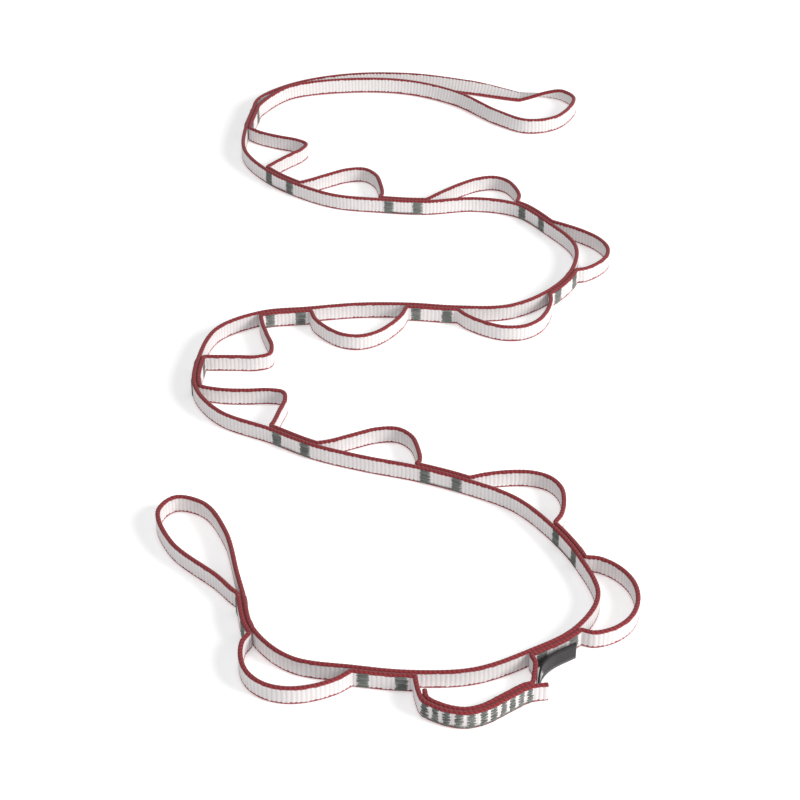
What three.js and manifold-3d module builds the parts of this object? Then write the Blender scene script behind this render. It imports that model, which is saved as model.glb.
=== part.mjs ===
// A climbing daisy chain: one long woven strap sewn into a loop and tacked together fourteen times,
// so that it has thirteen pockets between two end loops. It lies on edge on a level surface, in an S.
// Millimetres, +X right, +Y away, +Z up. The strap runs from end loop A, right at the back,
// to end loop B, left at the front. Going that way, the slack pocket strands are on the left.
import * as THREE from 'three';
import Module from 'manifold-3d';
import { mergeVertices } from 'three/addons/utils/BufferGeometryUtils.js';

// The strap
const STRAP_WIDTH = 10.6;
const STRAP_THICKNESS = 2.4;
const PLY_GAP = 0.3;
const PLY_OFFSET = STRAP_THICKNESS + PLY_GAP;

// The sewn sections, where two plies lie face to face
const SECTION_HALF = 12;
const SECTION_REACH = 14;
const SWING_HANDLE = 21;
const FLEX_GAP = 1;
const PLY_LEAD = 3;
const LEAD_SPACING = 1.5;
const PLY_SPACING = 4;

// The bar tacks of grey thread, two to a section, joined by a jump thread near the lower edge
const TACK_SPACING = 18.2;
const TACK_LENGTH = 4.4;
const TACK_LOW = 0.9;
const TACK_HIGH = 9.7;
const THREAD_THICKNESS = 0.35;
const THREAD_GAP = 0.3;
const NEEDLE_WIDTH = 1.2;
const NEEDLE_CLEARANCE = 0.3;
const JUMP_LOW = 1.4;
const JUMP_HIGH = 2.1;

// The lap splice, in the twelfth pocket, with eleven columns of stitches
const SPLICE_COLUMNS = 11;
const SPLICE_PITCH = 5.4;
const SPLICE_START = 9;
const COLUMN_LENGTH = 2.6;

// The folded label that is sewn into the splice
const LABEL_WIDTH = 10;
const LABEL_THICKNESS = 0.9;

// Steps along the strap between the rows of corners
const POCKET_STEP = 4.5;
const SPINE_STEP = 4.5;
const LOOP_STEP = 5.5;
const FINE_STEP = 2.5;
const KNOT_DIVISIONS = 40;

const COLOURS = {
  webbing: { color: 0xe9e5e5, roughness: 0.85, metalness: 0 },
  thread: { color: 0x5f625f, roughness: 0.8, metalness: 0 },
  label: { color: 0x282628, roughness: 0.9, metalness: 0 },
};

// Where each sewn section is laid: the place of its middle, and its heading in degrees from +X
const SECTIONS = [
  [-101, 308, -98], [-77, 230, -42], [2, 200, -5], [83, 185, -49], [96, 108, -124], [19, 81, 174],
  [-68, 76, -171], [-115, 14, -90], [-59, -47, -31], [22, -79, -23], [85, -135, -63], [74, -209, -145],
  [-8, -230, 173], [-75, -188, 104],
];
const SECTION_COUNT = SECTIONS.length;

// Each slack pocket strand is an arch from one section to the next: its height, its width at half its
// height, and how far it leans towards end loop B there. One narrower than BELL_WIDTH is bell-shaped.
const POCKETS = {
  1: { height: 30, width: 26, lean: 3 },
  2: { height: 29, width: 36, lean: 4 },
  3: { height: 31, width: 42, lean: 7 },
  4: { height: 27, width: 43, lean: 4 },
  5: { height: 29, width: 45, lean: -1 },
  6: { height: 28, width: 43, lean: 1 },
  7: { height: 27, width: 28, lean: 1 },
  8: { height: 26, width: 27, lean: 7 },
  9: { height: 26, width: 37, lean: 6 },
  10: { height: 29, width: 43, lean: 2 },
  11: { height: 29, width: 51, lean: 1 },
  13: { height: 29, width: 47, lean: 2 },
};
const ARCH_SHARPNESS = 1.25;
const BELL_SHARPNESS = 2;
const BELL_WIDTH = 40;
const ARCH_POINTS = 7;

// The twelfth pocket is where the strap's two ends lap: each end flares away from the other ply.
// Its places are given beside the spine: how far past the twelfth section, and how far to the left
const LAP = [
  [8, 24], [11, 21], [16, 20], [25, 22], [34, 26], [40, 27], [46, 25], [51, 22], [55, 19], [57, 16],
];
const INNER_LEAD = [[4, 8], [9, 15]];
const INNER_TAIL = [56, 12];
const OUTER_HEAD = [7, 24];
const OUTER_TAIL = [[59, 12], [60, 7]];

// The end loops. The third number is how far the strap leans to its left from upright, in degrees.
// Loop A holds a half turn in its far side, so the strap's edges change places there.
const LOOP_A = [
  [-95, 326, 0], [-76, 350, 6], [-38, 360, 12], [4, 358, 16], [38, 342, 20], [66, 315, 14], [86, 303, 8],
  [106, 309, 2], [119, 334, 4], [112, 346, 20], [99, 350, 55], [84, 351, 88], [50, 359, 128],
  [8, 368, 145], [-35, 367, 156], [-73, 354, 168], [-96, 334, 178],
];
const LOOP_B = [
  [-82, -160], [-90, -127], [-103, -104], [-118, -99], [-126, -110], [-117, -136], [-92, -162], [-84, -172],
];
const LABEL_ROUTE = [[66, -236], [68, -227], [73, -220], [86, -211]];

const manifold = await Module();
manifold.setup();

// A smooth level route through a list of points, measured by distance along it
function route(points) {
  const curve = new THREE.CatmullRomCurve3(points.map(([x, y]) => new THREE.Vector3(x, y, 0)));
  curve.curveType = 'centripetal';
  curve.arcLengthDivisions = (points.length - 1) * KNOT_DIVISIONS;
  const length = curve.getLength();
  const at = (distance) => curve.getPointAt(THREE.MathUtils.clamp(distance / length, 0, 1));
  const along = (distance) => curve.getTangentAt(THREE.MathUtils.clamp(distance / length, 0, 1));
  const left = (distance) => new THREE.Vector3(-along(distance).y, along(distance).x, 0);
  const beside = (distance, offset) => at(distance).addScaledVector(left(distance), offset);
  const lengths = curve.getLengths();
  const knot = (index) => lengths[index * KNOT_DIVISIONS];
  return { length, at, along, left, beside, knot };
}

// Evenly spaced distances from one place to another
function distances(from, to, step) {
  const count = Math.max(1, Math.round(Math.abs(to - from) / step));
  return Array.from({ length: count + 1 }, (_, i) => from + ((to - from) * i) / count);
}

// A closed solid through rings of four corners, each ring given anticlockwise as seen from its start
function solidOfRings(rings) {
  const corners = rings.flat().flatMap((corner) => [corner.x, corner.y, corner.z]);
  const faces = [];
  for (let ring = 0; ring + 1 < rings.length; ring += 1) {
    for (let side = 0; side < 4; side += 1) {
      const a = ring * 4 + side;
      const b = ring * 4 + ((side + 1) % 4);
      faces.push(a, b, b + 4, a, b + 4, a + 4);
    }
  }
  const last = (rings.length - 1) * 4;
  faces.push(0, 2, 1, 0, 3, 2, last, last + 1, last + 2, last, last + 2, last + 3);
  const geometry = new THREE.BufferGeometry();
  geometry.setAttribute('position', new THREE.Float32BufferAttribute(corners, 3));
  geometry.setIndex(faces);
  return geometry;
}

// The four corners of a strap's section: centre, direction across its width, and through its thickness
function sectionCorners(centre, across, through, width, thickness) {
  const corner = (a, b) => centre.clone()
    .addScaledVector(across, (a * width) / 2)
    .addScaledVector(through, (b * thickness) / 2);
  return [corner(-1, -1), corner(-1, 1), corner(1, 1), corner(1, -1)];
}

// An upright ribbon beside a route, between two distances and two heights
function ribbon(path, { from, to, step = FINE_STEP, offset = 0, thickness, low = 0, high = STRAP_WIDTH }) {
  const up = new THREE.Vector3(0, 0, 1);
  return solidOfRings(distances(from, to, step).map((distance) => {
    const centre = path.beside(distance, offset).setZ((low + high) / 2);
    return sectionCorners(centre, up, path.left(distance), high - low, thickness);
  }));
}

// A strap that leans by a given number of degrees along its route, and touches the ground all along
function leaningStrap(path, leanAt, from, to, step) {
  return solidOfRings(distances(from, to, step).map((distance) => {
    const lean = THREE.MathUtils.degToRad(leanAt(distance));
    const rise = Math.abs(Math.cos(lean)) * STRAP_WIDTH + Math.abs(Math.sin(lean)) * STRAP_THICKNESS;
    const left = path.left(distance);
    const across = left.clone().multiplyScalar(Math.sin(lean)).setZ(Math.cos(lean));
    const through = left.clone().multiplyScalar(Math.cos(lean)).setZ(-Math.sin(lean));
    const centre = path.at(distance).setZ(rise / 2);
    return sectionCorners(centre, across, through, STRAP_WIDTH, STRAP_THICKNESS);
  }));
}

// Geometry to a solid that can be joined and cut, and back
function toSolid(geometry) {
  const bare = geometry.clone();
  bare.deleteAttribute('normal');
  bare.deleteAttribute('uv');
  const merged = mergeVertices(bare, 1e-4);
  const vertProperties = new Float32Array(merged.attributes.position.array);
  const triVerts = new Uint32Array(merged.index.array);
  return new manifold.Manifold(new manifold.Mesh({ numProp: 3, vertProperties, triVerts }));
}

function toGeometry(solid) {
  const mesh = solid.getMesh();
  const geometry = new THREE.BufferGeometry();
  geometry.setAttribute('position', new THREE.BufferAttribute(mesh.vertProperties, 3));
  geometry.setIndex(new THREE.BufferAttribute(mesh.triVerts, 1));
  return geometry;
}

const join = (geometries) => toGeometry(geometries.map(toSolid).reduce((all, next) => all.add(next)));
const cut = (geometry, tools) => toGeometry(
  tools.map(toSolid).reduce((rest, tool) => rest.subtract(tool), toSolid(geometry)),
);

const chain = new THREE.Group();

function addPiece(name, geometry, finish) {
  geometry.computeVertexNormals();
  const mesh = new THREE.Mesh(geometry, new THREE.MeshStandardMaterial(COLOURS[finish]));
  mesh.name = name;
  chain.add(mesh);
}

const numbered = (name, number) => `${name}_${String(number).padStart(2, '0')}`;

// The spine runs straight through every sewn section and swings from one heading to the next between
// them. The middle of each swing is where a Bezier curve with handles of SWING_HANDLE has it.
const laid = SECTIONS.map(([x, y, heading]) => {
  const ahead = new THREE.Vector2(1, 0).rotateAround(new THREE.Vector2(), THREE.MathUtils.degToRad(heading));
  const middle = new THREE.Vector2(x, y);
  const end = (side) => middle.clone().addScaledVector(ahead, side * SECTION_REACH);
  return { ahead, start: end(-1), end: end(1) };
});
const swing = (before, after) => before.end.clone().add(after.start).multiplyScalar(0.5)
  .add(before.ahead.clone().sub(after.ahead).multiplyScalar(SWING_HANDLE * (3 / 8)));
const spine = route(laid.flatMap((section, i) => [
  section.start, section.end, ...laid.slice(i + 1, i + 2).map((after) => swing(section, after)),
]).map((point) => [point.x, point.y]));
const sectionCentre = (number) => (spine.knot(number * 3 - 3) + spine.knot(number * 3 - 2)) / 2;
const sectionStart = (number) => sectionCentre(number) - SECTION_HALF;
const sectionEnd = (number) => sectionCentre(number) + SECTION_HALF;
const flat = (points) => points.map((point) => [point.x, point.y]);

// Points of the pocket ply through a sewn section, in the strap's direction
function pocketPly(number) {
  const lead = sectionStart(number) - PLY_LEAD;
  return flat([lead, ...distances(lead + LEAD_SPACING, sectionEnd(number), PLY_SPACING)]
    .map((distance) => spine.beside(distance, PLY_OFFSET)));
}

// The first two points of a strand on the far side of a section's flex gap
function strandLead(number) {
  return flat([FLEX_GAP, FLEX_GAP + LEAD_SPACING]
    .map((gap) => spine.beside(sectionEnd(number) + gap, PLY_OFFSET)));
}

// Points beside the spine, given by their distance past a section and their offset to the left
function besideSection(number, places) {
  return flat(places.map(([past, offset]) => spine.beside(sectionEnd(number) + past, offset)));
}

// The arch of a slack pocket strand, over the line between the sections that hold it
function pocketArch(number) {
  const { height, width, lean } = POCKETS[number];
  const start = spine.beside(sectionEnd(number), PLY_OFFSET);
  const along = spine.beside(sectionStart(number + 1), PLY_OFFSET).sub(start);
  const span = along.length();
  along.normalize();
  const left = new THREE.Vector3(-along.y, along.x, 0);
  const sharpness = width < BELL_WIDTH ? BELL_SHARPNESS : ARCH_SHARPNESS;
  const halfway = Math.asin(0.5 ** (1 / sharpness));
  const swell = (width / span - 1 + (2 * halfway) / Math.PI) / (2 * Math.sin(2 * halfway));
  return flat(Array.from({ length: ARCH_POINTS }, (_, i) => {
    const turn = (Math.PI * (i + 1)) / (ARCH_POINTS + 1);
    const past = span * (turn / Math.PI - swell * Math.sin(2 * turn));
    const shift = (lean * Math.sin(turn)) / Math.sin(halfway);
    return start.clone()
      .addScaledVector(along, past + shift)
      .addScaledVector(left, height * Math.sin(turn) ** sharpness);
  }));
}

// Two bar tacks through both plies, with a needle thread through each and the jump thread between them
function tackPair(number) {
  const middle = sectionCentre(number);
  const reach = PLY_OFFSET / 2 + STRAP_THICKNESS / 2 + THREAD_GAP + THREAD_THICKNESS / 2;
  const pieces = [];
  for (const place of [-TACK_SPACING / 2, TACK_SPACING / 2].map((shift) => middle + shift)) {
    for (const side of [-reach, reach]) {
      pieces.push(ribbon(spine, {
        from: place - TACK_LENGTH / 2,
        to: place + TACK_LENGTH / 2,
        offset: PLY_OFFSET / 2 + side,
        thickness: THREAD_THICKNESS,
        low: TACK_LOW,
        high: TACK_HIGH,
      }));
    }
    pieces.push(needle(spine, place, PLY_OFFSET / 2, reach * 2, 0));
  }
  pieces.push(ribbon(spine, {
    from: middle - TACK_SPACING / 2,
    to: middle + TACK_SPACING / 2,
    offset: PLY_OFFSET / 2 - reach,
    thickness: THREAD_THICKNESS,
    low: JUMP_LOW,
    high: JUMP_HIGH,
  }));
  return join(pieces);
}

// The thread that a needle carries through the plies, or the hole that it needs
function needle(path, place, offset, depth, clearance) {
  const half = NEEDLE_WIDTH / 2 + clearance;
  return ribbon(path, {
    from: place - half,
    to: place + half,
    step: half * 2,
    offset,
    thickness: depth + clearance,
    low: STRAP_WIDTH / 2 - half,
    high: STRAP_WIDTH / 2 + half,
  });
}

const NEEDLE_DEPTH = PLY_OFFSET + STRAP_THICKNESS + 2;

function sectionHoles(number) {
  return [-1, 1].map((side) => needle(
    spine,
    sectionCentre(number) + (side * TACK_SPACING) / 2,
    PLY_OFFSET / 2,
    NEEDLE_DEPTH,
    NEEDLE_CLEARANCE,
  ));
}

// The spine strand from one section to the end of the next one's ply
function spineStrand(number) {
  const strand = ribbon(spine, {
    from: sectionEnd(number) + FLEX_GAP,
    to: sectionEnd(number + 1),
    step: SPINE_STEP,
    thickness: STRAP_THICKNESS,
  });
  return cut(strand, sectionHoles(number + 1));
}

// The slack strand of a pocket and its ply in the next section
function pocketStrand(number) {
  const path = route([...strandLead(number), ...pocketArch(number), ...pocketPly(number + 1)]);
  const strand = ribbon(path, { from: 0, to: path.length, step: POCKET_STEP, thickness: STRAP_THICKNESS });
  return cut(strand, sectionHoles(number + 1));
}

// The end loop at the back: out along the pocket ply, round the tip, and back along the spine ply
function endLoopA() {
  const outward = pocketPly(1).reverse();
  const inward = flat(distances(sectionStart(1), sectionEnd(1), PLY_SPACING)
    .map((distance) => spine.at(distance)));
  const path = route([...outward, ...LOOP_A, ...inward]);
  const knots = [
    ...outward.map(() => 0),
    ...LOOP_A.map(([, , lean]) => lean),
    ...inward.map(() => 180),
  ];
  const places = knotDistances(path, [...outward, ...LOOP_A, ...inward]);
  const leanAt = (distance) => interpolate(places, knots, distance);
  return cut(leaningStrap(path, leanAt, 0, path.length, LOOP_STEP), sectionHoles(1));
}

// How far along a route each of its points lies
function knotDistances(path, points) {
  const samples = distances(0, path.length, 1);
  let from = 0;
  return points.map(([x, y]) => {
    let best = from;
    let nearest = Infinity;
    for (let i = from; i < samples.length; i += 1) {
      const gap = path.at(samples[i]).distanceTo(new THREE.Vector3(x, y, 0));
      if (gap < nearest) {
        nearest = gap;
        best = i;
      } else if (gap > nearest + 20) {
        break;
      }
    }
    from = best;
    return samples[best];
  });
}

function interpolate(places, values, place) {
  const next = places.findIndex((candidate) => candidate >= place);
  if (next <= 0) {
    return next === 0 ? values[0] : values[values.length - 1];
  }
  const share = (place - places[next - 1]) / (places[next] - places[next - 1] || 1);
  return THREE.MathUtils.lerp(values[next - 1], values[next], share);
}

// The end loop at the front, a plain bend from the last section's spine ply to its pocket ply
function endLoopB() {
  const gap = sectionEnd(SECTION_COUNT) + FLEX_GAP;
  const out = flat([gap, gap + LEAD_SPACING].map((distance) => spine.at(distance)));
  const back = strandLead(SECTION_COUNT).reverse();
  const path = route([...out, ...LOOP_B, ...back]);
  return ribbon(path, { from: 0, to: path.length, step: LOOP_STEP, thickness: STRAP_THICKNESS });
}

// The two ends of the strap in the twelfth pocket. Each follows the lap's middle line on its own side.
const lap = route(besideSection(12, LAP));
const columnPlaces = Array.from({ length: SPLICE_COLUMNS }, (_, i) => SPLICE_START + i * SPLICE_PITCH);
const lapSpan = [SPLICE_START - COLUMN_LENGTH, columnPlaces.at(-1) + COLUMN_LENGTH];
const lapSide = (offset) => flat(distances(...lapSpan, PLY_SPACING)
  .map((distance) => lap.beside(distance, offset)));
const lapHoles = () => columnPlaces.map((place) => needle(lap, place, 0, NEEDLE_DEPTH, NEEDLE_CLEARANCE));

function innerEnd() {
  const path = route([...strandLead(12), ...besideSection(12, INNER_LEAD), ...lapSide(-PLY_OFFSET / 2),
    ...besideSection(12, [INNER_TAIL])]);
  const strand = ribbon(path, { from: 0, to: path.length, step: POCKET_STEP, thickness: STRAP_THICKNESS });
  return cut(strand, lapHoles());
}

function outerEnd() {
  const path = route([...besideSection(12, [OUTER_HEAD]), ...lapSide(PLY_OFFSET / 2),
    ...besideSection(12, OUTER_TAIL), ...pocketPly(13)]);
  const strand = ribbon(path, { from: 0, to: path.length, step: POCKET_STEP, thickness: STRAP_THICKNESS });
  return cut(strand, [...lapHoles(), ...sectionHoles(13)]);
}

// Eleven columns of stitches through the lap, joined by one thread along the outer face
function spliceStitching() {
  const reach = PLY_OFFSET / 2 + STRAP_THICKNESS / 2 + THREAD_GAP + THREAD_THICKNESS / 2;
  const pieces = columnPlaces.flatMap((place) => [
    needle(lap, place, 0, reach * 2, 0),
    ...[-reach, reach].map((offset) => ribbon(lap, {
      from: place - COLUMN_LENGTH / 2,
      to: place + COLUMN_LENGTH / 2,
      offset,
      thickness: THREAD_THICKNESS,
      low: TACK_LOW,
      high: TACK_HIGH,
    })),
  ]);
  pieces.push(ribbon(lap, {
    from: columnPlaces[0],
    to: columnPlaces.at(-1),
    offset: reach,
    thickness: THREAD_THICKNESS,
    low: JUMP_LOW,
    high: JUMP_HIGH,
  }));
  return join(pieces);
}

function label() {
  const path = route(LABEL_ROUTE);
  return ribbon(path, { from: 0, to: path.length, thickness: LABEL_THICKNESS, high: LABEL_WIDTH });
}

addPiece('end_loop_a', endLoopA(), 'webbing');
for (let number = 1; number < SECTION_COUNT; number += 1) {
  addPiece(numbered('spine_strand', number), spineStrand(number), 'webbing');
  if (number !== 12) {
    addPiece(numbered('pocket_strand', number), pocketStrand(number), 'webbing');
  }
}
addPiece('splice_inner_end', innerEnd(), 'webbing');
addPiece('splice_outer_end', outerEnd(), 'webbing');
addPiece('end_loop_b', endLoopB(), 'webbing');
for (let number = 1; number <= SECTION_COUNT; number += 1) {
  addPiece(numbered('tack_pair', number), tackPair(number), 'thread');
}
addPiece('splice_stitching', spliceStitching(), 'thread');
addPiece('label', label(), 'label');

// The origin is the middle of the laid chain's footprint, on the surface
const footprint = new THREE.Box3().setFromObject(chain).getCenter(new THREE.Vector3());
chain.position.set(-footprint.x, -footprint.y, 0);

const daisyChain = new THREE.Group();
daisyChain.add(chain);
export default daisyChain;
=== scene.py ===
"""A climbing daisy chain of flat woven strap, laid on edge in an S on a pale surface.

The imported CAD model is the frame. Every strand, bar tack and label that shows is built here on the
routes that the CAD solids follow, and each replaces its solid. Routes are in millimetres from the
chain's own origin, and meshes are in metres in the frame.
"""
import math

import bpy
import numpy as np
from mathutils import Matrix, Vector


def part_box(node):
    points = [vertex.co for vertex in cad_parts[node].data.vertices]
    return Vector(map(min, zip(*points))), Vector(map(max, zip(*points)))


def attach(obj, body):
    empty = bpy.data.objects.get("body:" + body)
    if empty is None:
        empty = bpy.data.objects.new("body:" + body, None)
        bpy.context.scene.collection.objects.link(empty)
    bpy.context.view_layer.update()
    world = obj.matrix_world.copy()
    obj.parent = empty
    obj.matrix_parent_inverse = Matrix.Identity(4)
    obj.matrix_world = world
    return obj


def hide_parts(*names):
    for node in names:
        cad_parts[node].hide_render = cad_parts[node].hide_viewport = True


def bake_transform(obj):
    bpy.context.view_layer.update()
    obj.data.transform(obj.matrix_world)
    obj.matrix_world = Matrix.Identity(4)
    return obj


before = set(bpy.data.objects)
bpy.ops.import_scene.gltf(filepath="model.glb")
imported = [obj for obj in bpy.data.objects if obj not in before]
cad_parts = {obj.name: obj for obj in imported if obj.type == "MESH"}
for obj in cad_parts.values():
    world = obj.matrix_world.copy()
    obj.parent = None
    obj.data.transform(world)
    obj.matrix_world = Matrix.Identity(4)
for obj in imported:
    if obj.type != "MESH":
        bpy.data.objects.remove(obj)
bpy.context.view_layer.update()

MM = 0.001
SEED = 14

# The strap, as the CAD has it, in millimetres
STRAP_WIDTH = 10.6
STRAP_THICKNESS = 2.4
PLY_OFFSET = 2.7
SECTION_HALF = 12
SECTION_REACH = 14
KNOTS_TO_A_SECTION = 3
SWING_HANDLE = 21
PLY_LEAD = 3
LEAD_GAPS = (0, 1, 2.5)
LEAD_SPACING = 1.5
PLY_SPACING = 4
SPINE_SPACING = 3
KNOT_DIVISIONS = 40
TACK_SPACING = 18.2
TACK_LENGTH = 4.4
STITCHES_LOW = 0.9
STITCHES_HIGH = 9.7
JUMP_HEIGHT = 1.75
SPLICE_SECTION = 12
SPLICE_COLUMNS = 11
SPLICE_PITCH = 5.4
SPLICE_START = 9
COLUMN_LENGTH = 2.6
LABEL_WIDTH = 10
LABEL_THICKNESS = 0.9

# Each sewn section, from 1: the place of its middle, and its heading in degrees from +X
SECTIONS = [
    (-101, 308, -98), (-77, 230, -42), (2, 200, -5), (83, 185, -49), (96, 108, -124), (19, 81, 174),
    (-68, 76, -171), (-115, 14, -90), (-59, -47, -31), (22, -79, -23), (85, -135, -63), (74, -209, -145),
    (-8, -230, 173), (-75, -188, 104),
]

# Each slack pocket strand: its height, its width at half its height, and how far it leans there
POCKETS = {
    1: (30, 26, 3), 2: (29, 36, 4), 3: (31, 42, 7), 4: (27, 43, 4), 5: (29, 45, -1), 6: (28, 43, 1),
    7: (27, 28, 1), 8: (26, 27, 7), 9: (26, 37, 6), 10: (29, 43, 2), 11: (29, 51, 1), 13: (29, 47, 2),
}
ARCH_SHARPNESS = 1.25
BELL_SHARPNESS = 2
BELL_WIDTH = 40
ARCH_POINTS = 7

# The lap splice, beside the spine past its section: distance along and offset to the left
LAP = [(8, 24), (11, 21), (16, 20), (25, 22), (34, 26), (40, 27), (46, 25), (51, 22), (55, 19), (57, 16)]
INNER_LEAD = [(4, 8), (9, 15)]
INNER_TAIL = (56, 12)
OUTER_HEAD = (7, 24)
OUTER_TAIL = [(59, 12), (60, 7)]

# The end loops: loop A with its lean in degrees, which takes it through a half turn
LOOP_A = [
    (-95, 326, 0), (-76, 350, 6), (-38, 360, 12), (4, 358, 16), (38, 342, 20), (66, 315, 14), (86, 303, 8),
    (106, 309, 2), (119, 334, 4), (112, 346, 20), (99, 350, 55), (84, 351, 88), (50, 359, 128),
    (8, 368, 145), (-35, 367, 156), (-73, 354, 168), (-96, 334, 178),
]
LOOP_B = [
    (-82, -160), (-90, -127), (-103, -104), (-118, -99), (-126, -110), (-117, -136), (-92, -162), (-84, -172),
]
LABEL_ROUTE = [(66, -236), (68, -227), (73, -220), (86, -211)]

# The weave
RIB_PITCH = 2.3
RINGS_TO_A_RIB = 5
RIB_GROOVE = 0.16
RIB_FULLNESS = 0.7
FACE_HALF = 4.3
FACE_COLUMNS = (-1, -0.5, 0, 0.5, 1)
SELVEDGE_REACH = 0.93
SELVEDGE_HALF_DEPTH = 1.33
SELVEDGE_POINTS = 7
BRAID_LUMP = 0.06
BRAID_TWIST = 1.5

# The sewing thread
THREAD_RADIUS = 0.27
COLUMN_THREAD_RADIUS = 0.36
THREAD_SIDES = 6
STITCH_ROWS = 17
STITCH_RINGS = 8
STITCH_RISE = 0.17
STITCH_DEPTH = 0.3
STITCH_FLATNESS = 4
STITCH_LIFTS = (-0.04, 0.06)
STITCH_OVERRUN = 0.6
STITCH_RAGGED = 0.45
STITCH_SLANT = 0.7
SLANT_RAGGED = 0.3
COLUMN_ROWS = 10
COLUMN_SEWN_LENGTH = 2.0

# The loose thread from one block of stitches to the next: it wanders up and down, and off the strap
JUMP_RINGS = 8
JUMP_STEP = 1.2
JUMP_SHARE = 0.8
JUMP_WANDER = 0.12
JUMP_WANDER_TURN = 9
JUMP_WANDER_STARTS = (0, 6)
JUMP_LIFT = 0.2
JUMP_SWELL = 0.05
JUMP_SWELL_TURN = 14

# A distance along a strand from where it leaves a section
FLEX_REACH = 7.5

# The label, a tape folded in two with its fold at the free end. Each bar has its lower and upper edge, and
# where it starts and ends along the label.
LEAF_THICKNESS = 0.3
LEAF_OFFSET = 0.27
LEAF_STEP = 1
LEAF_LEVELS = 6
FOLD_PLACE = 1
FOLD_POINTS = 7
LABEL_CAD_STEP = 2.5
LABEL_BARS = [(3.4, 4.4, 5, 10), (5.8, 6.8, 5, 8.5)]

# The bodies from end loop A to end loop B. Section n rides on body n - 1, and the splice's pieces past
# section 12 ride on body 12.
BODIES = ["loop_a_section"] + [f"segment_{number:02d}" for number in range(1, 14)] + ["loop_b"]


def run_along(points):
    """The distance along a line of points, from its first."""
    return np.concatenate([[0], np.cumsum(np.linalg.norm(np.diff(points, axis=0), axis=1))])


def turn_left(ways):
    """Directions on the ground, a quarter turn to the left."""
    return np.stack([-ways[..., 1], ways[..., 0]], axis=-1)


class Route:
    """A smooth level line through points, measured along it: a centripetal Catmull-Rom curve."""

    def __init__(self, points):
        points = np.array([point[:2] for point in points], float)
        ends = 2 * points[[0, -1]] - points[[1, -2]]
        padded = np.vstack([ends[:1], points, ends[1:]])
        gaps = np.sqrt(np.linalg.norm(np.diff(padded, axis=0), axis=1))[:, None]
        before, middle, after = gaps[:-2], gaps[1:-1], gaps[2:]
        p0, p1, p2, p3 = padded[:-3], padded[1:-2], padded[2:-1], padded[3:]
        leave = middle * ((p1 - p0) / before - (p2 - p0) / (before + middle)) + p2 - p1
        arrive = middle * ((p3 - p2) / after - (p3 - p1) / (middle + after)) + p2 - p1
        self.terms = [p1, leave, 3 * (p2 - p1) - 2 * leave - arrive, 2 * (p1 - p2) + leave + arrive]
        self.places = np.linspace(0, len(points) - 1, (len(points) - 1) * KNOT_DIVISIONS + 1)
        self.lengths = run_along(self.curve(self.places))
        self.length = self.lengths[-1]

    def pieces(self, place):
        """Which stretch of the curve each place is in, and how far through it."""
        index = np.clip(np.floor(place).astype(int), 0, len(self.terms[0]) - 1)
        return index, (place - index)[:, None]

    def curve(self, place):
        index, share = self.pieces(np.atleast_1d(place))
        return sum(term[index] * share**power for power, term in enumerate(self.terms))

    def at(self, distance):
        return self.curve(np.interp(np.atleast_1d(distance), self.lengths, self.places))

    def left(self, distance):
        index, share = self.pieces(np.interp(np.atleast_1d(distance), self.lengths, self.places))
        slope = sum(power * self.terms[power][index] * share ** (power - 1) for power in (1, 2, 3))
        slope /= np.linalg.norm(slope, axis=1)[:, None]
        return turn_left(slope)

    def beside(self, distance, offset):
        offset = np.broadcast_to(offset, np.shape(np.atleast_1d(distance)))
        return self.at(distance) + self.left(distance) * offset[:, None]

    def knot(self, index):
        return self.lengths[index * KNOT_DIVISIONS]


def distances(start, end, step):
    """Evenly spaced distances from one place to another."""
    return np.linspace(start, end, max(1, round(abs(end - start) / step)) + 1)


def direction(degrees):
    """The unit vector of a heading."""
    return np.array([math.cos(math.radians(degrees)), math.sin(math.radians(degrees))])


def spine_points():
    """Each section's two ends, and the middle of the swing from each section to the next."""
    laid = [(np.array([x, y], float), direction(heading)) for x, y, heading in SECTIONS]
    points = []
    for number, (middle, ahead) in enumerate(laid):
        points += [middle - ahead * SECTION_REACH, middle + ahead * SECTION_REACH]
        if number + 1 < len(laid):
            next_middle, next_ahead = laid[number + 1]
            ends = points[-1] + next_middle - next_ahead * SECTION_REACH
            # The middle of a cubic curve with a handle along each section
            points.append(ends / 2 + (ahead - next_ahead) * SWING_HANDLE * 3 / 8)
    return points


spine = Route(spine_points())


def section_centre(number):
    """The middle of a section, between its two knots of the spine."""
    knot = (number - 1) * KNOTS_TO_A_SECTION
    return (spine.knot(knot) + spine.knot(knot + 1)) / 2


def section_start(number):
    return section_centre(number) - SECTION_HALF


def section_end(number):
    return section_centre(number) + SECTION_HALF


def pocket_ply(number):
    """Points of the pocket ply through a sewn section, in the strap's direction."""
    lead = section_start(number) - PLY_LEAD
    rows = np.append(lead, distances(lead + LEAD_SPACING, section_end(number), PLY_SPACING))
    return spine.beside(rows, PLY_OFFSET)


def strand_lead(number, offset=PLY_OFFSET):
    """The first points of a strand where it leaves a section."""
    return spine.beside(section_end(number) + np.array(LEAD_GAPS), offset)


def beside_section(number, places):
    past, offset = np.array(places, float).T
    return spine.beside(section_end(number) + past, offset)


def pocket_arch(number):
    """The arch of a slack pocket strand, over the line between the sections that hold it."""
    height, width, lean = POCKETS[number]
    start = spine.beside(section_end(number), PLY_OFFSET)[0]
    ahead = spine.beside(section_start(number + 1), PLY_OFFSET)[0] - start
    span = np.linalg.norm(ahead)
    ahead /= span
    sharpness = BELL_SHARPNESS if width < BELL_WIDTH else ARCH_SHARPNESS
    halfway = math.asin(0.5 ** (1 / sharpness))
    swell = (width / span - 1 + 2 * halfway / math.pi) / (2 * math.sin(2 * halfway))
    turn = math.pi * np.arange(1, ARCH_POINTS + 1) / (ARCH_POINTS + 1)
    past = span * (turn / math.pi - swell * np.sin(2 * turn)) + lean * np.sin(turn) / math.sin(halfway)
    return start + past[:, None] * ahead + (height * np.sin(turn) ** sharpness)[:, None] * turn_left(ahead)


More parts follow.
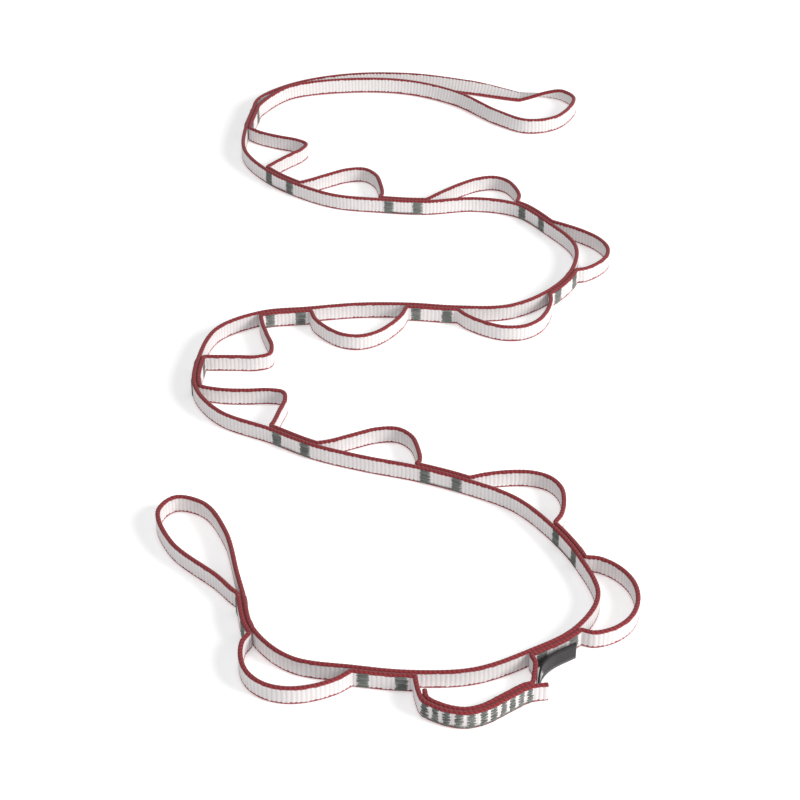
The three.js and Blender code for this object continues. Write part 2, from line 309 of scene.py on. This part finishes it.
lap = Route(beside_section(SPLICE_SECTION, LAP))
column_places = SPLICE_START + SPLICE_PITCH * np.arange(SPLICE_COLUMNS)


def lap_side(offset):
    rows = distances(SPLICE_START - COLUMN_LENGTH, column_places[-1] + COLUMN_LENGTH, PLY_SPACING)
    return lap.beside(rows, offset)


def frame_origin():
    """Where the frame's origin lies among the routes: the label's box gives it."""
    path = Route(LABEL_ROUTE)
    rows = distances(0, path.length, LABEL_CAD_STEP)
    edges = np.vstack([path.beside(rows, side * LABEL_THICKNESS / 2) for side in (-1, 1)])
    low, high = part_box("label")
    middle = np.array([low[axis] + high[axis] for axis in (0, 1)]) / 2 / MM
    return (edges.min(axis=0) + edges.max(axis=0)) / 2 - middle


ORIGIN = frame_origin()


def in_frame(points):
    """Route coordinates in millimetres to frame coordinates in metres."""
    moved = np.array(points, float)
    moved[..., 0] -= ORIGIN[0]
    moved[..., 1] -= ORIGIN[1]
    return moved * MM


# Materials. Scales and rates are to one unit of a piece's weave coordinates, and bumps are in metres.

SHEEN_ROUGHNESS = 0.5
SPECULAR = 0.25

# The values that most of a noise lies between, and the narrower ones that make patches and stray fibres
NOISE = (0.3, 0.7)
NOISE_PATCHES = (0.45, 0.75)
NOISE_FIBRES = (0.4, 0.7)

PATCH_SCALE = 0.9
FIBRE_SCALE = 9.0
FIBRE_DETAIL = 3.0
FIBRE_RELIEF = 0.8
RED_START = 4.1
RED_TEETH = 0.7
RED_WANDER = 1.5
RED_BLUR = 0.1
YARN_RATE = 2.0
YARN_STAGGER = 0.25
YARN_SHADE = 0.22
RIB_SHADE_FULLNESS = 0.5
WHITE_WEAR = 0.3
BRAID_SLANT = 0.28
BRAID_SHADE_FULLNESS = 1.4
RED_WEAR = 0.35
WEBBING_BUMP = 0.00009
WEBBING_ROUGHNESS = (0.72, 0.92)
WEBBING_SHEEN = 0.25

TWIST_RATE = 1.3
TWIST_SHADE = 0.45
THREAD_SCALE = 5.0
THREAD_BUMP = 0.00006
THREAD_ROUGHNESS = (0.55, 0.8)
THREAD_SHEEN = 0.15

WARP_RATE = 2.6
WEFT_RATE = 2.2
SATIN_RATE = 3.2
TAPE_SCALE = 1.4
TAPE_WEAR = 0.4
BAR_RELIEF = 0.6
TAPE_BUMP = 0.00008
TAPE_ROUGHNESS = 0.8
TAPE_SHEEN = 0.2

CLOTH_BUMP_STRENGTH = 0.7
THREAD_BUMP_STRENGTH = 0.8


class Nodes:
    """A material's nodes, with short ways to add them. A number or a socket goes into any input."""

    def __init__(self, name, kind, output):
        self.material = bpy.data.materials.new(name)
        self.material.use_nodes = True
        self.tree = self.material.node_tree
        self.shader = self.tree.nodes["Principled BSDF"]
        self.source = self.tree.nodes.new(kind)
        self.vector = self.source.outputs[output]

    def put(self, value, socket):
        if isinstance(value, bpy.types.NodeSocket):
            self.tree.links.new(value, socket)
        else:
            socket.default_value = value

    def math(self, operation, *values):
        node = self.tree.nodes.new("ShaderNodeMath")
        node.operation = operation
        for value, socket in zip(values, node.inputs):
            self.put(value, socket)
        return node.outputs[0]

    def wave(self, value, rate, shift=0):
        """A sine from 0 to 1."""
        turned = self.math("ADD", self.math("MULTIPLY", value, 2 * math.pi * rate), shift)
        return self.math("MULTIPLY_ADD", self.math("SINE", turned), 0.5, 0.5)

    def noise(self, scale, detail=2.0):
        node = self.tree.nodes.new("ShaderNodeTexNoise")
        self.put(self.vector, node.inputs["Vector"])
        node.inputs["Scale"].default_value = scale
        node.inputs["Detail"].default_value = detail
        return node.outputs[0]

    def spread(self, value, low, high, to_low=0.0, to_high=1.0):
        node = self.tree.nodes.new("ShaderNodeMapRange")
        for setting, socket in zip((value, low, high, to_low, to_high), node.inputs):
            self.put(setting, socket)
        return node.outputs[0]

    def mix(self, share, first, second):
        node = self.tree.nodes.new("ShaderNodeMix")
        node.data_type = "RGBA"
        self.put(share, node.inputs["Factor"])
        colours = [socket for socket in node.inputs if socket.type == "RGBA"]
        for value, socket in zip((first, second), colours):
            self.put(value, socket)
        return [socket for socket in node.outputs if socket.type == "RGBA"][0]

    def bump(self, height, distance, strength):
        node = self.tree.nodes.new("ShaderNodeBump")
        node.inputs["Strength"].default_value = strength
        node.inputs["Distance"].default_value = distance
        self.put(height, node.inputs["Height"])
        self.put(node.outputs["Normal"], self.shader.inputs["Normal"])

    def finish(self, colour, roughness, sheen):
        self.put(colour, self.shader.inputs["Base Color"])
        self.put(roughness, self.shader.inputs["Roughness"])
        self.shader.inputs["Sheen Weight"].default_value = sheen
        self.shader.inputs["Sheen Roughness"].default_value = SHEEN_ROUGHNESS
        self.shader.inputs["Specular IOR Level"].default_value = SPECULAR
        return self.material


class WovenNodes(Nodes):
    """The nodes of a woven piece, with its weave coordinates as one vector and as three values."""

    def __init__(self, name):
        super().__init__(name, "ShaderNodeAttribute", "Vector")
        self.source.attribute_name = "weave"
        split = self.tree.nodes.new("ShaderNodeSeparateXYZ")
        self.tree.links.new(self.vector, split.inputs[0])
        self.along, self.across, self.through = split.outputs


def colour(red, green, blue):
    """An sRGB colour, 0 to 255, as linear light."""
    values = [part / 255 for part in (red, green, blue)]
    return [((v + 0.055) / 1.055) ** 2.4 if v > 0.04045 else v / 12.92 for v in values] + [1.0]


# Painted shade: the darker white in the grooves between the strap's ribs
WHITE_GROOVE_PAINTED_SHADE = colour(196, 190, 191)
WHITE_RIDGE = colour(224, 220, 220)
WHITE_YARN = colour(202, 197, 198)
WHITE_WORN = colour(206, 197, 197)
# Painted shade: the darker red between the lumps of the braided edge
RED_GROOVE_PAINTED_SHADE = colour(104, 24, 31)
RED_RIDGE = colour(150, 44, 50)
RED_WORN = colour(174, 80, 84)
THREAD_DARK = colour(92, 95, 92)
THREAD_LIGHT = colour(138, 141, 136)
# Painted shade: the darker grey in the grooves of the thread's twist
THREAD_GROOVE_PAINTED_SHADE = colour(66, 69, 67)
# Painted shade: the darker black between the label tape's woven threads
TAPE_GROOVE_PAINTED_SHADE = colour(26, 25, 27)
TAPE_RIDGE = colour(54, 51, 54)
TAPE_WORN = colour(66, 62, 62)
# Painted shade: the darker pale colour between the ridges of the bars' satin
SATIN_GROOVE_PAINTED_SHADE = colour(196, 194, 192)
SATIN_RIDGE = colour(236, 235, 233)
FLOOR_DARK = colour(248, 248, 248)
FLOOR_LIGHT = colour(252, 252, 252)


def ribbed_white(nodes, ridge, yarn, patches):
    """The strap's face: pale ribs of staggered yarns, worn in patches, with painted shade darkening the
    grooves between the ribs.
    """
    fullness = nodes.math("POWER", ridge, RIB_SHADE_FULLNESS)
    white = nodes.mix(fullness, WHITE_GROOVE_PAINTED_SHADE, WHITE_RIDGE)
    white = nodes.mix(nodes.math("MULTIPLY", yarn, YARN_SHADE), white, WHITE_YARN)
    return nodes.mix(nodes.spread(patches, *NOISE_PATCHES, 0, WHITE_WEAR), white, WHITE_WORN)


def braided_red(nodes, fibres):
    """The strap's edge: slanting lumps of red braid with paler fibres, and painted shade darkening the red
    between the lumps.
    """
    lump = nodes.wave(nodes.math("MULTIPLY_ADD", nodes.through, BRAID_SLANT, nodes.along), 1.0)
    red = nodes.mix(nodes.math("POWER", lump, BRAID_SHADE_FULLNESS), RED_GROOVE_PAINTED_SHADE, RED_RIDGE)
    return nodes.mix(nodes.spread(fibres, *NOISE_FIBRES, 0, RED_WEAR), red, RED_WORN)


def red_share(nodes, place, patches):
    """0 on the white face and 1 on the red edge, with a toothed and wandering line between them."""
    tooth = nodes.math("ABSOLUTE", nodes.math("SUBTRACT", place, 0.5))
    limit = nodes.math("MULTIPLY_ADD", tooth, -RED_TEETH, RED_START)
    limit = nodes.math("MULTIPLY_ADD", nodes.math("SUBTRACT", patches, 0.5), RED_WANDER, limit)
    edge = nodes.math("ABSOLUTE", nodes.across)
    return nodes.spread(nodes.math("SUBTRACT", edge, limit), -RED_BLUR, RED_BLUR)


def webbing_material():
    """White ribbed webbing with dark red braided edges. The weave's coordinates are ribs along the strap,
    and millimetres across it and through it."""
    nodes = WovenNodes("webbing")
    place = nodes.math("FRACT", nodes.along)
    ridge = nodes.math("SINE", nodes.math("MULTIPLY", place, math.pi))
    row = nodes.math("FLOOR", nodes.along)
    yarn = nodes.wave(nodes.math("MULTIPLY_ADD", row, YARN_STAGGER, nodes.across), YARN_RATE)
    patches = nodes.noise(PATCH_SCALE)
    fibres = nodes.noise(FIBRE_SCALE, FIBRE_DETAIL)
    white = ribbed_white(nodes, ridge, yarn, patches)
    red = braided_red(nodes, fibres)
    fuzz = nodes.math("MULTIPLY", fibres, FIBRE_RELIEF)
    relief = nodes.math("ADD", nodes.math("MULTIPLY", yarn, ridge), fuzz)
    nodes.bump(relief, WEBBING_BUMP, CLOTH_BUMP_STRENGTH)
    roughness = nodes.spread(fibres, *NOISE, *WEBBING_ROUGHNESS)
    return nodes.finish(nodes.mix(red_share(nodes, place, patches), white, red), roughness, WEBBING_SHEEN)


def thread_material():
    """Twisted grey thread, with painted shade darkening the grooves of its twist. The coordinates are
    millimetres along it, turns round it, and its own shade of grey.
    """
    nodes = WovenNodes("thread")
    turned = nodes.math("ADD", nodes.math("MULTIPLY", nodes.along, TWIST_RATE), nodes.across)
    twist = nodes.wave(turned, 1.0)
    shade = nodes.mix(nodes.through, THREAD_DARK, THREAD_LIGHT)
    shade = nodes.mix(nodes.math("MULTIPLY", twist, TWIST_SHADE), shade, THREAD_GROOVE_PAINTED_SHADE)
    nodes.bump(twist, THREAD_BUMP, THREAD_BUMP_STRENGTH)
    roughness = nodes.spread(nodes.noise(THREAD_SCALE), *NOISE, *THREAD_ROUGHNESS)
    return nodes.finish(shade, roughness, THREAD_SHEEN)


def between(nodes, value, low, high):
    """1 where the value lies between two limits, and 0 elsewhere."""
    above = nodes.math("GREATER_THAN", value, low)
    below = nodes.math("LESS_THAN", value, high)
    return nodes.math("MULTIPLY", above, below)


def label_bar(nodes, low, high, start, end):
    """1 on a bar of the label, and 0 elsewhere."""
    inside = between(nodes, nodes.across, low, high)
    return nodes.math("MULTIPLY", inside, between(nodes, nodes.along, start, end))


def label_material():
    """Black woven tape with two plain pale bars, with painted shade darkening the tape between its threads
    and the bars between their satin ridges. The coordinates are millimetres along it and up it.
    """
    nodes = WovenNodes("label")
    cloth = nodes.math("MULTIPLY", nodes.wave(nodes.across, WARP_RATE), nodes.wave(nodes.along, WEFT_RATE))
    black = nodes.mix(cloth, TAPE_GROOVE_PAINTED_SHADE, TAPE_RIDGE)
    worn = nodes.spread(nodes.noise(TAPE_SCALE), *NOISE_PATCHES, 0, TAPE_WEAR)
    black = nodes.mix(worn, black, TAPE_WORN)
    bars = nodes.math("MAXIMUM", *[label_bar(nodes, *bar) for bar in LABEL_BARS])
    satin = nodes.mix(nodes.wave(nodes.across, SATIN_RATE), SATIN_GROOVE_PAINTED_SHADE, SATIN_RIDGE)
    relief = nodes.math("ADD", cloth, nodes.math("MULTIPLY", bars, BAR_RELIEF))
    nodes.bump(relief, TAPE_BUMP, CLOTH_BUMP_STRENGTH)
    return nodes.finish(nodes.mix(bars, black, satin), TAPE_ROUGHNESS, TAPE_SHEEN)


WEBBING = webbing_material()
THREAD = thread_material()
LABEL = label_material()


# Strands


def tube_faces(rings, sides, first=0):
    """Faces round rings of corners, with an end cap at each end."""
    ring, side = np.meshgrid(np.arange(rings - 1), np.arange(sides), indexing="ij")
    here, there = ring * sides + side, ring * sides + (side + 1) % sides
    walls = np.stack([here, there, there + sides, here + sides], axis=-1).reshape(-1, 4) + first
    last = first + (rings - 1) * sides
    caps = [list(range(first + sides - 1, first - 1, -1)), list(range(last, last + sides))]
    return walls.tolist() + caps


def add_piece(name, vertices, faces, weave, material):
    """A smooth mesh in place of the CAD node of that name, with its weave coordinates."""
    mesh = bpy.data.meshes.new(f"woven_{name}")
    mesh.from_pydata(in_frame(vertices).tolist(), [], faces)
    values = mesh.attributes.new("weave", "FLOAT_VECTOR", "POINT")
    values.data.foreach_set("vector", np.asarray(weave, np.float32).ravel())
    mesh.polygons.foreach_set("use_smooth", [len(face) == 4 for face in faces])
    mesh.materials.append(material)
    mesh.update()
    piece = bpy.data.objects.new(f"woven_{name}", mesh)
    bpy.context.collection.objects.link(piece)
    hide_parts(name)
    return piece


def strap_outline():
    """The strap's outline, clockwise: across, the side or angle, and whether it is on a face."""
    turns = np.linspace(math.pi / 2, -math.pi / 2, SELVEDGE_POINTS + 2)[1:-1]
    outline = [(share * FACE_HALF, 1, True) for share in FACE_COLUMNS]
    outline += [(FACE_HALF, turn, False) for turn in turns]
    outline += [(-share * FACE_HALF, -1, True) for share in FACE_COLUMNS]
    outline += [(-FACE_HALF, turn, False) for turn in turns[::-1]]
    return outline


def strap_rings(ribs):
    """Across and through for every corner of every ring, at places given in ribs."""
    across, through = [], []
    ridge = np.abs(np.sin(math.pi * ribs)) ** RIB_FULLNESS
    for place, turn, on_face in strap_outline():
        if on_face:
            across.append(np.full_like(ribs, place))
            through.append(turn * (STRAP_THICKNESS / 2 - RIB_GROOVE * (1 - ridge)))
        else:
            lump = 1 + BRAID_LUMP * np.sin(2 * math.pi * ribs + BRAID_TWIST * turn)
            reach = math.copysign(SELVEDGE_REACH * math.cos(turn), place)
            across.append(place + reach * lump)
            through.append(SELVEDGE_HALF_DEPTH * math.sin(turn) * (0.5 + 0.5 * lump))
    return np.stack(across, axis=1), np.stack(through, axis=1)


def add_strap(name, path, lean=None):
    """A strand of strap along a route, on edge, or leaning by an angle in radians at each place."""
    ribs = max(2, round(path.length / RIB_PITCH))
    places = np.linspace(0, ribs, ribs * RINGS_TO_A_RIB + 1)
    rows = places / ribs * path.length
    leaning = np.zeros_like(rows) if lean is None else lean(rows)
    across, through = strap_rings(places)
    left = np.column_stack([path.left(rows), np.zeros(len(rows))])
    upright = np.array([0, 0, 1.0])
    sine, cosine = np.sin(leaning)[:, None], np.cos(leaning)[:, None]
    width_way = left * sine + upright * cosine
    depth_way = left * cosine - upright * sine
    rise = np.abs(cosine) * STRAP_WIDTH + np.abs(sine) * STRAP_THICKNESS
    centre = np.column_stack([path.at(rows), rise[:, 0] / 2])
    corners = (
        centre[:, None]
        + across[:, :, None] * width_way[:, None]
        + through[:, :, None] * depth_way[:, None]
    )
    weave = np.stack([np.broadcast_to(places[:, None], across.shape), across, through], axis=-1)
    sides = across.shape[1]
    faces = tube_faces(len(rows), sides)
    return add_piece(name, corners.reshape(-1, 3), faces, weave.reshape(-1, 3), WEBBING)


def place_of(path, distance):
    """A place on a route at the middle of the strap's width, in the frame."""
    return Vector(in_frame([*path.at(distance)[0], STRAP_WIDTH / 2]))


def bend_from(piece, path):
    """The strand's mesh is baked into the frame. Its places at the start and a little way along are worked
    out and not used.
    """
    place_of(path, 0)
    place_of(path, FLEX_REACH)
    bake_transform(piece)


def add_strands():
    for number in range(1, len(SECTIONS)):
        start, end = section_end(number), section_end(number + 1)
        path = Route(spine.at(distances(start, end, SPINE_SPACING)))
        bend_from(add_strap(f"spine_strand_{number:02d}", path), path)
        if number in POCKETS:
            path = Route(np.vstack([strand_lead(number), pocket_arch(number), pocket_ply(number + 1)]))
            bend_from(add_strap(f"pocket_strand_{number:02d}", path), path)


def add_splice_ends():
    inner = Route(np.vstack([
        strand_lead(SPLICE_SECTION),
        beside_section(SPLICE_SECTION, INNER_LEAD),
        lap_side(-PLY_OFFSET / 2),
        beside_section(SPLICE_SECTION, [INNER_TAIL]),
    ]))
    bend_from(add_strap("splice_inner_end", inner), inner)
    outer = Route(np.vstack([
        beside_section(SPLICE_SECTION, [OUTER_HEAD]),
        lap_side(PLY_OFFSET / 2),
        beside_section(SPLICE_SECTION, OUTER_TAIL),
        pocket_ply(SPLICE_SECTION + 1),
    ]))
    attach(add_strap("splice_outer_end", outer), BODIES[SPLICE_SECTION])


def add_end_loops():
    outward = pocket_ply(1)[::-1]
    inward = spine.at(distances(section_start(1), section_end(1), PLY_SPACING))
    path = Route(np.vstack([outward, [point[:2] for point in LOOP_A], inward]))
    leans = [0] * len(outward) + [lean for _, _, lean in LOOP_A] + [180] * len(inward)
    knots = [path.knot(index) for index in range(len(leans))]
    piece = add_strap("end_loop_a", path, lambda rows: np.radians(np.interp(rows, knots, leans)))
    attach(piece, BODIES[0])

    last = len(SECTIONS)
    path = Route(np.vstack([strand_lead(last, 0), LOOP_B, strand_lead(last)[::-1]]))
    ahead = spine.beside(section_end(last) + np.array([0, FLEX_REACH]), 0)
    start, end = [Vector(in_frame([*point, STRAP_WIDTH / 2])) for point in ahead]
    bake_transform(add_strap("end_loop_b", path))


# Sewing


class Sewing:
    """Threads gathered into one mesh."""

    def __init__(self, seed):
        self.random = np.random.default_rng([SEED, seed])
        self.corners = []
        self.faces = []
        self.weave = []
        self.count = 0

    def add_thread(self, centres, first_way, second_way, radius, shade):
        """One round thread through the centres, with the two directions across it."""
        rings = len(centres)
        turns = -2 * math.pi * np.arange(THREAD_SIDES) / THREAD_SIDES
        ring = radius * (
            np.cos(turns)[:, None] * first_way[:, None] + np.sin(turns)[:, None] * second_way[:, None]
        )
        weave = np.empty((rings, THREAD_SIDES, 3))
        weave[..., 0] = run_along(centres)[:, None] + self.random.random()
        weave[..., 1] = -turns / (2 * math.pi)
        weave[..., 2] = shade
        self.corners.append((centres[:, None] + ring).reshape(-1, 3))
        self.weave.append(weave.reshape(-1, 3))
        self.faces += tube_faces(rings, THREAD_SIDES, self.count)
        self.count += rings * THREAD_SIDES

    def add_on_face(self, path, rows, heights, outward, offsets, radius):
        """A thread on the strap's face: distances along, heights, and offsets from the route."""
        left = np.column_stack([path.left(rows), np.zeros(len(rows))]) * outward
        centres = np.column_stack([path.beside(rows, offsets), heights])
        up = np.broadcast_to([0, 0, 1.0], centres.shape)
        ways = (up, left) if outward > 0 else (left, up)
        self.add_thread(centres, *ways, radius, self.random.random())

    def add_block(self, path, place, length, middle, face, outward, count, radius=THREAD_RADIUS):
        """A block of short stitches, each level or nearly so, from the lower edge to the upper one."""
        share = np.linspace(0, 1, STITCH_RINGS)
        lift = STITCH_RISE - STITCH_DEPTH * np.abs(2 * share - 1) ** STITCH_FLATNESS
        pitch = (STITCHES_HIGH - STITCHES_LOW) / count
        for row in range(count):
            ragged = self.random.uniform(-STITCH_RAGGED, STITCH_RAGGED, 2)
            ends = place + (length / 2 + STITCH_OVERRUN + ragged) * np.array([-1, 1])
            slant = STITCH_SLANT if row % 2 else -STITCH_SLANT
            slant += self.random.uniform(-SLANT_RAGGED, SLANT_RAGGED)
            heights = STITCHES_LOW + pitch * (row + 0.5) + (share - 0.5) * slant * pitch
            rows = ends[0] + share * (ends[1] - ends[0])
            offsets = middle + outward * (face + lift + self.random.uniform(*STITCH_LIFTS))
            self.add_on_face(path, rows, heights, outward, offsets, radius)

    def add_jump(self, path, start, end, middle, face, outward):
        """The thread that runs loose from one block of stitches to the next."""
        share = np.linspace(0, 1, max(JUMP_RINGS, round((end - start) / JUMP_STEP)))
        rows = start + share * (end - start)
        start_turn = self.random.uniform(*JUMP_WANDER_STARTS)
        wander = np.sin(share * JUMP_WANDER_TURN + start_turn) * JUMP_WANDER
        offsets = middle + outward * (face + JUMP_LIFT + JUMP_SWELL * np.sin(share * JUMP_SWELL_TURN))
        self.add_on_face(path, rows, JUMP_HEIGHT + wander, outward, offsets, THREAD_RADIUS * JUMP_SHARE)

    def add_to_scene(self, name):
        corners, weave = np.vstack(self.corners), np.vstack(self.weave)
        return add_piece(name, corners, self.faces, weave, THREAD)


def add_tacks():
    face = PLY_OFFSET / 2 + STRAP_THICKNESS / 2
    middle = PLY_OFFSET / 2
    for number in range(1, len(SECTIONS) + 1):
        sewing = Sewing(number)
        centre = section_centre(number)
        for shift in (-TACK_SPACING / 2, TACK_SPACING / 2):
            for outward in (-1, 1):
                sewing.add_block(spine, centre + shift, TACK_LENGTH, middle, face, outward, STITCH_ROWS)
        sewing.add_jump(spine, centre - TACK_SPACING / 2, centre + TACK_SPACING / 2, middle, face, -1)
        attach(sewing.add_to_scene(f"tack_pair_{number:02d}"), BODIES[number - 1])


def add_splice_stitching():
    face = PLY_OFFSET / 2 + STRAP_THICKNESS / 2
    sewing = Sewing(len(SECTIONS) + 1)
    for place in column_places:
        for outward in (-1, 1):
            sewing.add_block(
                lap, place, COLUMN_SEWN_LENGTH, 0, face, outward, COLUMN_ROWS, COLUMN_THREAD_RADIUS
            )
    sewing.add_jump(lap, column_places[0], column_places[-1], 0, face, 1)
    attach(sewing.add_to_scene("splice_stitching"), BODIES[SPLICE_SECTION])


def folded_line(path):
    """The tape's middle line: out along one leaf, round the fold, and back along the other."""
    rows = distances(path.length, FOLD_PLACE, LEAF_STEP)
    centre, left = path.at(FOLD_PLACE)[0], path.left(FOLD_PLACE)[0]
    back = turn_left(left)
    turns = np.linspace(0, math.pi, FOLD_POINTS + 2)[1:-1]
    fold = [centre + LEAF_OFFSET * (left * math.cos(turn) + back * math.sin(turn)) for turn in turns]
    return np.vstack([path.beside(rows, LEAF_OFFSET), fold, path.beside(rows[::-1], -LEAF_OFFSET)])


def add_label():
    line = folded_line(Route(LABEL_ROUTE[::-1]))
    ahead = np.gradient(line, axis=0)
    ahead /= np.linalg.norm(ahead, axis=1)[:, None]
    run = run_along(line)
    levels = np.linspace(0, LABEL_WIDTH, LEAF_LEVELS)
    outline = [(1, level) for level in levels] + [(-1, level) for level in levels[::-1]]
    corners, weave = [], []
    for point, side, distance in zip(line, turn_left(ahead), run):
        for turn, level in outline:
            corners.append([*(point + side * turn * LEAF_THICKNESS / 2), level])
            weave.append([distance, level, turn])
    faces = tube_faces(len(line), len(outline))
    piece = add_piece("label", np.array(corners), faces, weave, LABEL)
    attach(piece, BODIES[SPLICE_SECTION])


add_strands()
add_splice_ends()
add_end_loops()
add_tacks()
add_splice_stitching()
add_label()


# The floor, the lights and the camera

FLOOR_SIZE = 12.0
FLOOR_GLOW = 0.4
FLOOR_SCALE = 3.0
FLOOR_ROUGHNESS = 0.9
SKY_STRENGTH = 0.4
CAMERA_PITCH = math.radians(36.4)
CAMERA_DISTANCE = 1.248
LENS = 99.6
SENSOR_WIDTH = 36.0
CLIP_START = 0.01
AIM = Vector(in_frame([0.0, 0.0, 0.0]))

# Each light: its place from the aim, its size in metres, its power in watts and its tint
LIGHTS = {
    "key": ((2.2, -1.0, 1.3), 1.4, 75, (1.0, 0.99, 0.97)),
    "fill": ((-1.5, -1.5, 1.8), 1.6, 10, (0.97, 0.98, 1.0)),
}


def add_floor():
    nodes = Nodes("floor", "ShaderNodeTexCoord", "Object")
    tone = nodes.mix(nodes.spread(nodes.noise(FLOOR_SCALE), *NOISE), FLOOR_DARK, FLOOR_LIGHT)
    half = FLOOR_SIZE / 2
    corners = [(-half, -half, 0), (half, -half, 0), (half, half, 0), (-half, half, 0)]
    mesh = bpy.data.meshes.new("floor")
    mesh.from_pydata(corners, [], [(0, 1, 2, 3)])
    mesh.materials.append(nodes.finish(tone, FLOOR_ROUGHNESS, 0.0))
    nodes.put(tone, nodes.shader.inputs["Emission Color"])
    nodes.shader.inputs["Emission Strength"].default_value = FLOOR_GLOW
    floor = bpy.data.objects.new("floor", mesh)
    bpy.context.collection.objects.link(floor)


def add_area_light(name, place, size, power, tint):
    light = bpy.data.lights.new(name, "AREA")
    light.shape = "DISK"
    light.size = size
    light.energy = power
    light.color = tint
    lamp = bpy.data.objects.new(name, light)
    lamp.location = AIM + Vector(place)
    lamp.rotation_euler = (-Vector(place)).to_track_quat("-Z", "Y").to_euler()
    bpy.context.collection.objects.link(lamp)


def add_world():
    world = bpy.data.worlds.new("soft light")
    world.use_nodes = True
    background = world.node_tree.nodes["Background"]
    background.inputs["Color"].default_value = (1.0, 1.0, 1.0, 1.0)
    background.inputs["Strength"].default_value = SKY_STRENGTH
    bpy.context.scene.world = world


def add_camera():
    camera = bpy.data.cameras.new("camera")
    camera.lens = LENS
    camera.sensor_width = SENSOR_WIDTH
    camera.clip_start = CLIP_START
    back = Vector((0, -math.cos(CAMERA_PITCH), math.sin(CAMERA_PITCH)))
    holder = bpy.data.objects.new("camera", camera)
    holder.location = AIM + back * CAMERA_DISTANCE
    holder.rotation_euler = (math.pi / 2 - CAMERA_PITCH, 0, 0)
    bpy.context.collection.objects.link(holder)
    bpy.context.scene.camera = holder


add_floor()
add_world()
for name, settings in LIGHTS.items():
    add_area_light(name, *settings)
add_camera()
bpy.context.scene.view_settings.view_transform = "Standard"
